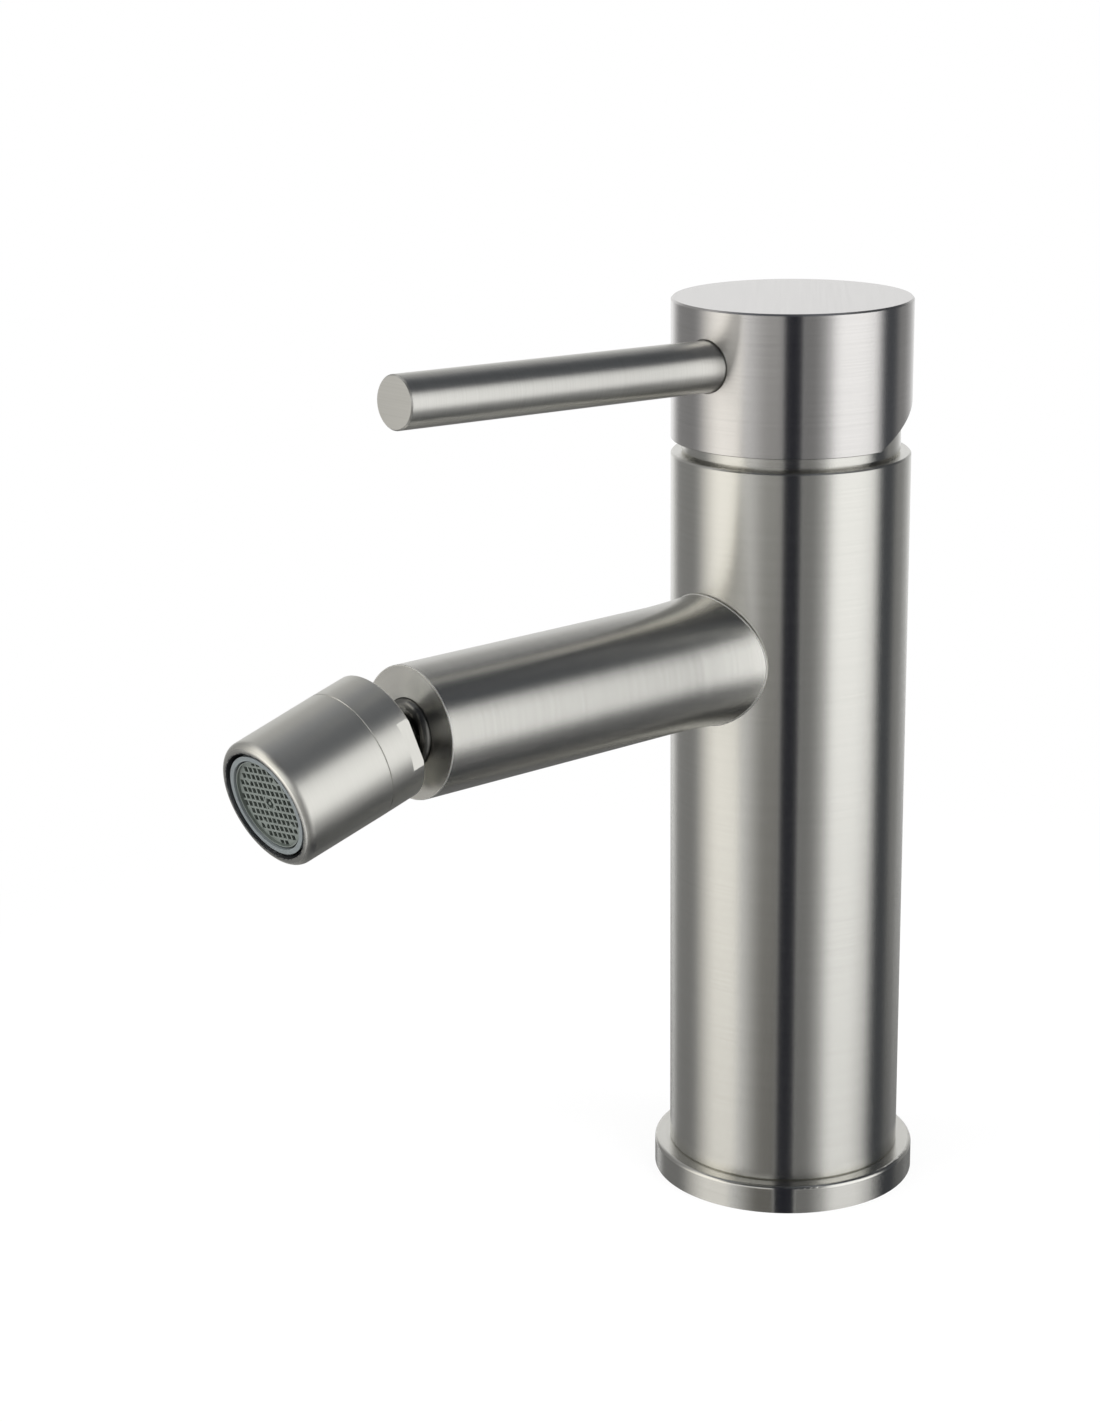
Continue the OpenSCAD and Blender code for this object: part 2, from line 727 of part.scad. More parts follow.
module nozzle_shell() {
    lip_r = lip_d / 2;
    bore_r = aerator_r + aerator_play;
    color(steel) along_nozzle() rotate_extrude() difference() {
        union() {
            translate([0, seal_s + seal_t]) square([thread_r - slip, nut_front - seal_s]);
            polygon([[0, nut_front], [nozzle_r - seam_chamfer, nut_front],
                [nozzle_r, nut_front + seam_chamfer], [lip_r, nozzle_len - lip_round],
                [0, nozzle_len - lip_round]]);
            translate([lip_r - lip_round, nozzle_len - lip_round]) circle(lip_round);
            translate([0, nut_front]) square([lip_r - lip_round, nozzle_len - nut_front]);
        }
        square([seat_room_r, nozzle_len]);
        translate([0, chamber_s]) square([bore_r, nozzle_len]);
    }
}

module aerator_washer() {
    color(rubber) along_nozzle(chamber_s) tube(aerator_r, seat_room_r, aerator_s - chamber_s);
}

// Sleeve of the aerator, with a shelf at each end for the screen and the outlet grid
module aerator_housing() {
    color(grey_plastic) along_nozzle() rotate_extrude() difference() {
        translate([0, aerator_s]) square([aerator_r, aerator_end - aerator_s]);
        translate([0, aerator_s - over]) square([ledge_r, nozzle_len]);
        translate([0, aerator_s - over]) square([grid_r + slip, screen_t + over]);
        translate([0, grid_s]) square([grid_r + grid_play, nozzle_len]);
    }
}

// Round plate with rows of six-sided holes, every second row set half a pitch over
module grid_plate(r, t, pitch, bar) {
    hole_r = (pitch - bar) / sqrt(3);
    row = pitch * sqrt(3) / 2;
    rows = ceil(r / row);
    difference() {
        cylinder(r = r, h = t);
        for (j = [-rows : rows], i = [-rows : rows]) {
            x = (i + (j % 2 == 0 ? 0 : 0.5)) * pitch;
            y = j * row;
            if (norm([x, y]) > 0.1 && norm([x, y]) < r - pitch / 2)
                translate([x, y, -over]) rotate(30) cylinder(r = hole_r, h = t + 2 * over, $fn = 6);
        }
    }
}

module inlet_screen() {
    pitch = 2.4;
    bar = 1;
    color(white_plastic) along_nozzle(aerator_s) grid_plate(grid_r, screen_t, pitch, bar);
}

module flow_straightener() {
    pitch = 2.8;
    bar = 0.8;
    length = grid_s - aerator_s - screen_t;
    color(white_plastic) along_nozzle(aerator_s + screen_t + length / 4)
        grid_plate(ledge_r - slip, length / 2, pitch, bar);
}

// Square holes of the outlet grid, cut off at its rim
module outlet_holes(rim_w) {
    hole_w = grid_pitch - grid_bar;
    reach = ceil(grid_r / grid_pitch);
    edge_share = 0.1;
    intersection() {
        translate([0, 0, -over]) cylinder(r = grid_r - rim_w, h = grid_t + 2 * over);
        for (i = [-reach : reach - 1], j = [-reach : reach - 1]) {
            x = (i + 0.5) * grid_pitch;
            y = (j + 0.5) * grid_pitch;
            if (norm([x, y]) < grid_r - rim_w - edge_share * grid_pitch)
                translate([x - hole_w / 2, y - hole_w / 2, -over]) cube([hole_w, hole_w, grid_t + 2 * over]);
        }
    }
}

// Grid that the water leaves by, with four posts and a six-sided socket round a pin
module outlet_grid() {
    rim_w = 0.2;
    rim_up = 0.5;
    post_r = 0.6;
    post_at = 5.7;
    post_turn = 46;
    hub_r = 1.4;
    socket_r = 1.05;
    socket_depth = 0.9;
    pin_r = 0.32;
    color(grey_plastic) along_nozzle(grid_s + slip) rotate(grid_turn) {
        difference() {
            union() {
                difference() {
                    cylinder(r = grid_r, h = grid_t);
                    outlet_holes(rim_w);
                }
                cylinder(r = hub_r, h = grid_t, $fn = 6);
            }
            translate([0, 0, grid_t - socket_depth]) cylinder(r = socket_r, h = grid_t, $fn = 6);
        }
        tube(grid_r, grid_r - rim_w, grid_t + rim_up);
        for (turn = [0 : 90 : 270]) rotate(post_turn + turn)
            translate([post_at, 0, 0]) cylinder(r = post_r, h = grid_t);
        cylinder(r = pin_r, h = grid_t);
    }
}

body();
base_flange();
deck_seal();
spout();
spout_seal();
cartridge_base();
cartridge_seals();
fixed_disc();
cartridge_housing();
cartridge_o_ring();
clamp_nut();
bonnet_ring();
ball_nipple();
nipple_seal();
rotor();
rotor_o_ring();
pivot_pin();
moving_disc();
disc_carrier();
stem();
handle_cap();
lever();
grub_screw();
index_plug();
ball_seat();
ball_seal();
nozzle_nut();
nozzle_shell();
aerator_washer();
aerator_housing();
inlet_screen();
flow_straightener();
outlet_grid();
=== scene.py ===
import math

import bpy
from mathutils import Matrix, Vector


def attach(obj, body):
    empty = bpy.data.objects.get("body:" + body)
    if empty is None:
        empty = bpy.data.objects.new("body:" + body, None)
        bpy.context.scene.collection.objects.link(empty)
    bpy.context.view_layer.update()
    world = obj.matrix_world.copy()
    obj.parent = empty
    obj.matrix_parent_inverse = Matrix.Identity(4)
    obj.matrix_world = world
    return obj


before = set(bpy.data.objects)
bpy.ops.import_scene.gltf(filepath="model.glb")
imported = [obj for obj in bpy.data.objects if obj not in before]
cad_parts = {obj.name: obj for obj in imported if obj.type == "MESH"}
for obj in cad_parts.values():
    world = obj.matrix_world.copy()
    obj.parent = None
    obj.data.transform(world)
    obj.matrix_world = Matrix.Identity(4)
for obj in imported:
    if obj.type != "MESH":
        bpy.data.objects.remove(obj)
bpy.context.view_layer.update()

scene = bpy.context.scene
scene.view_settings.view_transform = "Standard"

# Base flange: a turned ring of stainless steel that spreads the mixer's foot on the deck.
# It is brushed on the lathe, a little finer than the body, so its lines run round the
# upright axis. A flat rubber seal lies in the groove under it.
MM = 0.001
UPRIGHT_FOOT = Vector((0, 0, 0))
UPRIGHT_AXIS = Vector((0, 0, 1))


def linear(code):
    """The linear colour, with alpha, of an sRGB hex value."""
    parts = [int(code[i : i + 2], 16) / 255 for i in (1, 3, 5)]
    return [c / 12.92 if c <= 0.04045 else ((c + 0.055) / 1.055) ** 2.4 for c in parts] + [1]


def add(tree, kind, sockets=None, **settings):
    """Adds a node with its settings. A socket takes a constant or another node's output."""
    made = tree.nodes.new("ShaderNode" + kind)
    for name, value in settings.items():
        setattr(made, name, value)
    for name, value in (sockets or {}).items():
        if isinstance(value, bpy.types.NodeSocket):
            tree.links.new(value, made.inputs[name])
        else:
            made.inputs[name].default_value = value
    return made


def blank(name):
    """A new material, and its node tree with nothing in it."""
    made = bpy.data.materials.new(name)
    made.use_nodes = True
    made.node_tree.nodes.clear()
    return made, made.node_tree


def dress(material, *names):
    """Gives pieces of the frame their finish."""
    for name in names:
        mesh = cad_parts[name].data
        mesh.materials.clear()
        mesh.materials.append(material)


# Brushed stainless steel, 304: an abrasive held against the turning piece leaves fine rings.
# To the eye it is a warm grey metal whose reflections smear along the axis into long bands,
# and stay crisp round it. Real scratches are about 0.05 mm, so they are drawn wider to show.
LINE_MM = 0.4
STROKE_MM = 26
GRAIN_DETAIL = 2.5
GRAIN_ROUGHNESS = 0.62
SATIN_SPREAD = 0.04
SCRATCH_MM = 0.02
SCRATCH_STRENGTH = 0.06
QUARTER_TURN = 0.25
# A surface is an end face where its normal lies along the axis by more than END_FROM, and a
# wall where by less than WALL_BELOW. A wall's normal that leans round the axis by less than
# STRAY_MOST is the mesh's own unevenness, because the lathe leaves none.
END_FROM = 0.9
WALL_BELOW = 0.5
STRAY_MOST = 0.3


def turned_metal(name, foot, axis, dull=0.25, contrast=0.45, pale="#E4E3DE", deep="#C6C5BF",
                 sanded=None, end_dull=None, smear=0.9, bore_shade=None, skin_r=0.0):
    """Metal turned and brushed round the axis through foot, with lines from pale to deep.

    Smear is how far the lines stretch its reflections. Its ends may be sanded straight or have
    a gloss of their own, and its bore may be painted a darker colour, as painted shade. Beyond
    the radius skin_r its walls are truly round, and with no skin_r they are as the mesh has them.
    """
    made, tree = blank(name)
    coords = add(tree, "TexCoord").outputs
    normal = coords["Normal"]
    arm = add(tree, "VectorMath", {0: coords["Object"], 1: foot}, operation="SUBTRACT").outputs[0]
    along = add(tree, "VectorMath", {0: arm, 1: axis}, operation="DOT_PRODUCT").outputs["Value"]
    lengthwise = add(tree, "VectorMath", {0: axis, "Scale": along}, operation="SCALE").outputs[0]
    outward = add(tree, "VectorMath", {0: arm, 1: lengthwise}, operation="SUBTRACT").outputs[0]
    reach = add(tree, "VectorMath", {0: outward}, operation="LENGTH").outputs["Value"]
    track = add(tree, "Math", {0: along, 1: reach}, operation="ADD").outputs[0]
    stroke = add(tree, "VectorMath", {0: axis, 1: arm}, operation="CROSS_PRODUCT").outputs[0]
    facing = add(tree, "VectorMath", {0: normal, 1: axis}, operation="DOT_PRODUCT").outputs["Value"]
    steep = add(tree, "Math", {0: facing}, operation="ABSOLUTE").outputs[0]
    end = add(tree, "Math", {0: steep, 1: END_FROM}, operation="GREATER_THAN").outputs[0]
    true_normal = normal
    if skin_r is not None:
        ring_way = add(tree, "VectorMath", {0: stroke}, operation="NORMALIZE").outputs[0]
        stray = add(tree, "VectorMath", {0: normal, 1: ring_way}, operation="DOT_PRODUCT").outputs["Value"]
        lean = add(tree, "VectorMath", {0: ring_way, "Scale": stray}, operation="SCALE").outputs[0]
        turned = add(tree, "VectorMath", {0: normal, 1: lean}, operation="SUBTRACT").outputs[0]
        wall = add(tree, "Math", {0: steep, 1: WALL_BELOW}, operation="LESS_THAN").outputs[0]
        outside = add(tree, "Math", {0: reach, 1: skin_r}, operation="GREATER_THAN").outputs[0]
        slip = add(tree, "Math", {0: stray}, operation="ABSOLUTE").outputs[0]
        slight = add(tree, "Math", {0: slip, 1: STRAY_MOST}, operation="LESS_THAN").outputs[0]
        skin_wall = add(tree, "Math", {0: wall, 1: outside}, operation="MULTIPLY").outputs[0]
        mend = add(tree, "Math", {0: skin_wall, 1: slight}, operation="MULTIPLY").outputs[0]
        true_normal = add(tree, "Mix", {0: mend, 4: normal, 5: turned}, data_type="VECTOR").outputs[1]
    if sanded:
        across = add(tree, "VectorMath", {0: arm, 1: axis.cross(sanded)}, operation="DOT_PRODUCT")
        track = add(tree, "Mix", {0: end, 2: track, 3: across.outputs["Value"]}).outputs[0]
        stroke = add(tree, "Mix", {0: end, 4: stroke, 5: sanded}, data_type="VECTOR").outputs[1]
    rings = add(tree, "Math", {0: track, 1: STROKE_MM / LINE_MM}, operation="MULTIPLY").outputs[0]
    grain = add(tree, "TexNoise", {
        "Vector": outward, "W": rings, "Scale": 1 / (STROKE_MM * MM),
        "Detail": GRAIN_DETAIL, "Roughness": GRAIN_ROUGHNESS,
    }, noise_dimensions="4D").outputs["Fac"]
    even = add(tree, "MapRange", {
        "Value": grain, "To Min": 0.5 - contrast / 2, "To Max": 0.5 + contrast / 2,
    }).outputs[0]
    tone = add(tree, "Mix", {0: even, 6: linear(deep), 7: linear(pale)}, data_type="RGBA").outputs[2]
    # Surfaces that face in towards the axis, the bore, take the bore colour: a painted shade.
    if bore_shade:
        outer = add(tree, "VectorMath", {0: normal, 1: outward}, operation="DOT_PRODUCT").outputs["Value"]
        skin = add(tree, "Math", {0: outer, 1: 0.0}, operation="GREATER_THAN").outputs[0]
        tone = add(tree, "Mix", {0: skin, 6: linear(bore_shade), 7: tone}, data_type="RGBA").outputs[2]
    satin = add(tree, "MapRange", {
        "Value": even, "To Min": dull - SATIN_SPREAD, "To Max": dull + SATIN_SPREAD,
    }).outputs[0]
    if end_dull:
        satin = add(tree, "Mix", {0: end, 2: satin, 3: end_dull}).outputs[0]
    stroke_way = add(tree, "VectorTransform", {0: stroke}, vector_type="VECTOR",
                     convert_from="OBJECT", convert_to="WORLD").outputs[0]
    upright = add(tree, "VectorTransform", {0: true_normal}, vector_type="NORMAL",
                  convert_from="OBJECT", convert_to="WORLD").outputs[0]
    relief = add(tree, "Bump", {
        "Height": even, "Strength": SCRATCH_STRENGTH, "Distance": SCRATCH_MM * MM, "Normal": upright,
    }).outputs[0]
    shader = add(tree, "BsdfPrincipled", {
        "Base Color": tone, "Roughness": satin, "Metallic": 1.0, "Normal": relief,
        "Anisotropic": smear, "Anisotropic Rotation": QUARTER_TURN, "Tangent": stroke_way,
    })
    add(tree, "OutputMaterial", {"Surface": shader.outputs[0]})
    return made


flange_steel = turned_metal("steel_brushed_flange", UPRIGHT_FOOT, UPRIGHT_AXIS, dull=0.17)
dress(flange_steel, "base_flange")

# EPDM rubber, moulded: matt black with the faint mottle of its mould, about 0.8 mm across,
# and no clear highlight. The plastics and ceramics are moulded too, and take the same form:
# two close colours in a soft mottle, with a gloss that follows it.
MOTTLE_DETAIL = 4
MOTTLE_STRENGTH = 0.2
MOTTLE_LOW = 0.3
MOTTLE_HIGH = 0.7
GLOSS_SPREAD = 0.05


def moulded(name, pale, deep, roughness, mottle_mm, relief_mm=0.02, front=None, wall_shade=None):
    """A moulded plastic, rubber or ceramic. Faces that look away from front may take a painted shade."""
    made, tree = blank(name)
    coords = add(tree, "TexCoord").outputs
    mottle = add(tree, "TexNoise", {
        "Vector": coords["Object"], "Scale": 1 / (mottle_mm * MM), "Detail": MOTTLE_DETAIL,
    }).outputs["Fac"]
    tone = add(tree, "Mix", {0: mottle, 6: linear(deep), 7: linear(pale)}, data_type="RGBA").outputs[2]
    # Faces turned away from front are painted the wall colour, a painted shade for hollows.
    if wall_shade:
        facing = add(tree, "VectorMath", {0: coords["Normal"], 1: front}, operation="DOT_PRODUCT")
        fore = add(tree, "Math", {0: facing.outputs["Value"], 1: END_FROM}, operation="GREATER_THAN")
        tone = add(tree, "Mix", {0: fore.outputs[0], 6: linear(wall_shade), 7: tone}, data_type="RGBA").outputs[2]
    dull = add(tree, "MapRange", {
        "Value": mottle, "From Min": MOTTLE_LOW, "From Max": MOTTLE_HIGH,
        "To Min": roughness - GLOSS_SPREAD, "To Max": roughness + GLOSS_SPREAD,
    }).outputs[0]
    relief = add(tree, "Bump", {
        "Height": mottle, "Strength": MOTTLE_STRENGTH, "Distance": relief_mm * MM,
    }).outputs[0]
    shader = add(tree, "BsdfPrincipled", {"Base Color": tone, "Roughness": dull, "Normal": relief})
    add(tree, "OutputMaterial", {"Surface": shader.outputs[0]})
    return made


black_rubber = moulded("rubber_epdm_black", "#1E1E1E", "#121212", roughness=0.62, mottle_mm=0.8)
dress(black_rubber, "deck_seal")

# Body: a heavy bar of stainless steel, turned, bored from both ends and brushed round its axis.
# It stands on the base flange, whose lip centres it, and the hose ports are in its underside.
# The brushed rings give it tall, soft-ended bands of light and shade.
upright_steel = turned_metal("steel_brushed_upright", UPRIGHT_FOOT, UPRIGHT_AXIS)
dress(upright_steel, "body")

# Spout: a round bar of the same steel that flares into the body, drilled for the water and
# brushed in rings round its own axis. It is screwed into the body by a spigot, with an O-ring
# behind its shoulder. Its end face is turned, and a little glossier than its side.
SPOUT_FOOT = Vector((0, 0, 107.8)) * MM
SPOUT_RISE = math.radians(0.4)
SPOUT_AXIS = Vector((0, -math.cos(SPOUT_RISE), math.sin(SPOUT_RISE)))
SPOUT_LEN = 93.4
SPOUT_R = 11.83
spout_steel = turned_metal("steel_brushed_spout", SPOUT_FOOT, SPOUT_AXIS, dull=0.26, contrast=0.6,
                           end_dull=0.25)
dress(spout_steel, "spout")
dress(black_rubber, "spout_seal")

# Edges of the spout: the thin rim of its saddle, which follows the body round, and the broken
# edge of its end. Their steel is matt and even, and is painted paler than the spout's, a
# painted highlight, so that each draws a fine light line.
SADDLE_R = 22.92
FLARE_FROM = 36.5
FLARE_CURVE = 158.4
FIT_STEPS = 8
ROOT_SUNK = 0.06
ROOT_EDGE_R = 0.2
END_SUNK = 0.14
END_EDGE_R = 0.15
EDGE_SIDES = 8
EDGE_TURNS = [math.radians(a) for a in range(0, 360, 3)]


def spout_point(turn, along, out):
    """The point at a turn round the spout's axis, along it and out from it, in millimetres."""
    rise = math.sin(turn)
    side = Vector((math.cos(turn), rise * math.sin(SPOUT_RISE), rise * math.cos(SPOUT_RISE)))
    return SPOUT_FOOT / MM + SPOUT_AXIS * along + side * out


def saddle_point(turn):
    """The point where the flared spout meets the body, at a turn round the spout's axis."""
    s = SADDLE_R
    for _ in range(FIT_STEPS):
        r = SPOUT_R + FLARE_CURVE - math.sqrt(FLARE_CURVE**2 - (FLARE_FROM - s) ** 2)
        s = math.sqrt(SADDLE_R**2 - (r * math.cos(turn)) ** 2)
        s = (s + r * math.sin(turn) * math.sin(SPOUT_RISE)) / math.cos(SPOUT_RISE)
    return spout_point(turn, s, r - ROOT_SUNK)


def closed_edge(name, middle, radius, material, body):
    """A thin round edge along a closed line of points in millimetres."""
    count = len(middle)
    points = []
    for i, spot in enumerate(middle):
        ahead = (middle[(i + 1) % count] - middle[i - 1]).normalized()
        if i == 0:
            first = ahead.orthogonal().normalized()
        else:
            first = (first - ahead * first.dot(ahead)).normalized()
        second = ahead.cross(first)
        for k in range(EDGE_SIDES):
            turn = 2 * math.pi * k / EDGE_SIDES
            points.append((spot + (first * math.cos(turn) + second * math.sin(turn)) * radius) * MM)
    faces = []
    for i in range(count):
        here, there = i * EDGE_SIDES, (i + 1) % count * EDGE_SIDES
        for k in range(EDGE_SIDES):
            beside = (k + 1) % EDGE_SIDES
            faces.append((here + k, here + beside, there + beside, there + k))
    mesh = bpy.data.meshes.new(name)
    mesh.from_pydata(points, [], faces)
    mesh.shade_smooth()
    mesh.materials.append(material)
    made = bpy.data.objects.new(name, mesh)
    scene.collection.objects.link(made)
    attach(made, body)


# A pale, matt steel for the two edges: its pale colour is a painted highlight.
edge_highlight_steel = turned_metal("steel_edge_painted_highlight", SPOUT_FOOT, SPOUT_AXIS, dull=0.5, contrast=0.3,
                            pale="#FBFAF6", deep="#F1F0EB", smear=0.0, skin_r=None)
saddle_line = [saddle_point(turn) for turn in EDGE_TURNS]
end_line = [spout_point(turn, SPOUT_LEN - END_SUNK, SPOUT_R - END_SUNK) for turn in EDGE_TURNS]
closed_edge("spout_root_edge", saddle_line, ROOT_EDGE_R, edge_highlight_steel, "fixture")
closed_edge("spout_end_edge", end_line, END_EDGE_R, edge_highlight_steel, "fixture")

# Cartridge: a plastic housing with two lapped ceramic discs, held down by a brass nut.
# The stem rocks on a pin in the rotor and draws the upper disc over the ports of the lower.
# Rubber rings seal the housing in the body and the rotor in the housing.

# Acetal, moulded: an opaque, slightly waxy plastic with a broad, soft highlight.
white_acetal = moulded("acetal_moulded_white", "#E2E1DC", "#D6D5CF", roughness=0.42, mottle_mm=1.5)
grey_acetal = moulded("acetal_moulded_grey", "#9A9D9A", "#8D908D", roughness=0.42, mottle_mm=1.5)
dress(white_acetal, "cartridge_base", "cartridge_housing", "rotor")
dress(grey_acetal, "disc_carrier")
# Alumina, pressed, fired and lapped: ivory white and so flat that it shines almost like glass.
alumina = moulded("alumina_lapped", "#EFEDE8", "#E6E3DC", roughness=0.16, mottle_mm=0.6,
                  relief_mm=0.004)
dress(alumina, "fixed_disc", "moving_disc")
dress(black_rubber, "cartridge_seals", "cartridge_o_ring", "rotor_o_ring")
# Brass, turned and left bare: a yellow metal with clear tool rings.
turned_brass = turned_metal("brass_turned", UPRIGHT_FOOT, UPRIGHT_AXIS, dull=0.3, contrast=1.0,
                            pale="#D9B36A", deep="#C69E55")
dress(turned_brass, "clamp_nut", "stem")
# Stainless steel, drawn bright through a die: a neutral grey, glossier than brushed steel.
drawn_steel = turned_metal("steel_drawn_bright", UPRIGHT_FOOT, UPRIGHT_AXIS, dull=0.2, contrast=1.0,
                           pale="#D4D4D2", deep="#C4C4C2")
dress(drawn_steel, "pivot_pin")

# Bonnet ring: a thin turned cover over the cartridge, of the same steel as the body.
# It screws into the body's rim and shows as a low step in the gap under the handle.
dress(upright_steel, "bonnet_ring")

# Handle cap: a solid turned cap on the stem, cut away under its back so that it can lift.
# Its side is brushed in rings, and its top is sanded straight across by a belt. A grub screw
# at the back holds it on the stem, and a push-in plug hides the screw.
CAP_STROKE = Vector((0.69, -0.72, 0)).normalized()
cap_steel = turned_metal("steel_brushed_cap", UPRIGHT_FOOT, UPRIGHT_AXIS, contrast=0.65,
                         pale="#E2E0DE", deep="#C4C2C0", sanded=CAP_STROKE)
dress(cap_steel, "handle_cap")
dress(drawn_steel, "grub_screw")
dress(grey_acetal, "index_plug")

# Lever: a slim round bar of stainless steel with a flat end, screwed into the handle cap.
# It is brushed round its axis with a coarser grit, which blurs its bands more than the body's,
# and its end is sanded straight from side to side.
LEVER_FOOT = Vector((0, 0, 162.1)) * MM
LEVER_RISE = math.radians(2.2)
LEVER_AXIS = Vector((0, -math.cos(LEVER_RISE), math.sin(LEVER_RISE)))
LEVER_END_STROKE = Vector((1, 0, 0))
lever_steel = turned_metal("steel_brushed_lever", LEVER_FOOT, LEVER_AXIS, dull=0.31, contrast=0.95,
                           pale="#EFEEE9", deep="#D5D4CE", sanded=LEVER_END_STROKE, smear=0.82)
dress(lever_steel, "lever")

# Ball nipple: a turned steel nipple screwed into the spout's end, with the ball on its neck.
# Its steel is painted a darker grey than the brushed pieces, as painted shade in the narrow
# gap between spout and nozzle. The nozzle's plastic seat and rubber ring hug the ball and keep the water in.
# The darker grey of this steel is painted shade.
nipple_steel_painted_shade = turned_metal("steel_turned_nipple_painted_shade", SPOUT_FOOT, SPOUT_AXIS, dull=0.22, contrast=0.8,
                            pale="#9B9A96", deep="#84837F")
dress(nipple_steel_painted_shade, "ball_nipple")
dress(black_rubber, "nipple_seal", "ball_seal")
dress(grey_acetal, "ball_seat")

# Nozzle: a short turned barrel in two pieces, the rear nut with its spanner flats and the
# long front shell with a rounded lip, screwed together over the ball and brushed as one.
# Its steel is satin, with wide soft bands. Its bore is painted a darker grey, as painted shade inside it.
NOZZLE_DIP = math.radians(16.2)
NOZZLE_AXIS = Vector((0, -math.cos(NOZZLE_DIP), -math.sin(NOZZLE_DIP)))
BALL_OUT = 8.6
NOZZLE_FOOT = SPOUT_FOOT + SPOUT_AXIS * (SPOUT_LEN + BALL_OUT) * MM
# The spanner flats are cut deeper than this radius, so they stay flat.
NOZZLE_SKIN_R = 11.4 * MM
# The bore colour here is a painted shade for the inside of the barrel.
nozzle_steel = turned_metal("steel_brushed_nozzle", NOZZLE_FOOT, NOZZLE_AXIS, dull=0.4, contrast=0.3,
                            pale="#F6F5EF", deep="#DCDBD4", end_dull=0.15, smear=0.78, bore_shade="#8A8C8F",
                            skin_r=NOZZLE_SKIN_R)
dress(nozzle_steel, "nozzle_nut", "nozzle_shell")

# Aerator: a moulded insert in the nozzle's mouth with a square grid that the water leaves by.
# It is pushed in against a rubber washer, and its sleeve ends just behind the lip. Both are
# grey acetal with a soft highlight, and the walls of the grid's holes are painted darker, as painted shade.
mouth_plastic = moulded("acetal_moulded_sleeve", "#7A8081", "#6F7576", roughness=0.38, mottle_mm=1.2)
# The grid's hole walls are painted darker: painted shade in the holes.
grid_plastic = moulded("acetal_moulded_grid", "#757B76", "#6A706B", roughness=0.4, mottle_mm=1.2,
                       front=NOZZLE_AXIS, wall_shade="#5A605B")
dress(mouth_plastic, "aerator_housing")
dress(grid_plastic, "outlet_grid")
dress(white_acetal, "inlet_screen", "flow_straightener")
dress(black_rubber, "aerator_washer")

# Floor and background: a white table and a white room, seen as plain white by the camera
# and in the steel. The table keeps a part of its shading near the foot, so that the mixer
# has its shadow. Distances here are in metres.
WHITE = [1, 1, 1, 1]
TABLE_SIDE = 6.0
TABLE_KEEP = 0.18
SHADOW_NEAR = 0.05
SHADOW_FAR = 0.25
ROOM_FILL = 0.75


def seen_directly(tree):
    """1 for rays from the camera, a reflection or through glass, and 0 for the light itself."""
    path = add(tree, "LightPath").outputs
    shiny = add(tree, "Math", {0: path["Is Camera Ray"], 1: path["Is Glossy Ray"]}, operation="MAXIMUM")
    seen = add(tree, "Math", {0: shiny.outputs[0], 1: path["Is Transmission Ray"]}, operation="MAXIMUM")
    return seen.outputs[0]


room = bpy.data.worlds.new("white_room")
room.use_nodes = True
room.node_tree.nodes.clear()
scene.world = room
level = add(room.node_tree, "MapRange", {
    "Value": seen_directly(room.node_tree), "To Min": ROOM_FILL, "To Max": 1.0,
}).outputs[0]
haze = add(room.node_tree, "Background", {"Color": WHITE, "Strength": level})
add(room.node_tree, "OutputWorld", {"Surface": haze.outputs[0]})

table_white, table_tree = blank("table_white")
paper = add(table_tree, "BsdfDiffuse", {"Color": linear("#F4F4F4")})
light = add(table_tree, "Emission", {"Color": WHITE, "Strength": 1.0})
spot = add(table_tree, "TexCoord").outputs["Object"]
from_foot = add(table_tree, "VectorMath", {0: spot}, operation="LENGTH").outputs["Value"]
bare = add(table_tree, "MapRange", {
    "Value": from_foot, "From Min": SHADOW_NEAR, "From Max": SHADOW_FAR,
    "To Min": 1 - TABLE_KEEP, "To Max": 1.0,
}, interpolation_type="SMOOTHSTEP").outputs[0]
share = add(table_tree, "Math", {0: seen_directly(table_tree), 1: bare}, operation="MULTIPLY").outputs[0]
mixed = add(table_tree, "MixShader", {0: share, 1: paper.outputs[0], 2: light.outputs[0]})
add(table_tree, "OutputMaterial", {"Surface": mixed.outputs[0]})

half = TABLE_SIDE / 2
table_corners = [(-half, -half, 0), (half, -half, 0), (half, half, 0), (-half, half, 0)]
table_mesh = bpy.data.meshes.new("table_top")
table_mesh.from_pydata(table_corners, [], [(0, 1, 2, 3)])
table_mesh.materials.append(table_white)
table_top = bpy.data.objects.new("table_top", table_mesh)
table_top.visible_glossy = False
scene.collection.objects.link(table_top)

# Studio cards: lit, grey and black sheets round the set that only reflections see. They give
# the steel its bands. Each is a patch of a sphere round the mixer, placed by its bearings to
# the right of the camera's and its elevations in degrees, with edges that fade.
CAMERA_TURN = 43.787
CARD_FAR = 1.5
CARD_GAP = 0.02
CARD_CENTRE = Vector((0, -0.03, 0.1))
CARD_STEP = 6


def outwards(turn, up):
    """The way from the mixer at a bearing from the camera's and an elevation."""
    bearing, height = math.radians(CAMERA_TURN + turn), math.radians(up)
    level_way = Vector((math.sin(bearing), -math.cos(bearing), 0))
    return level_way * math.cos(height) + Vector((0, 0, math.sin(height)))


cards = []


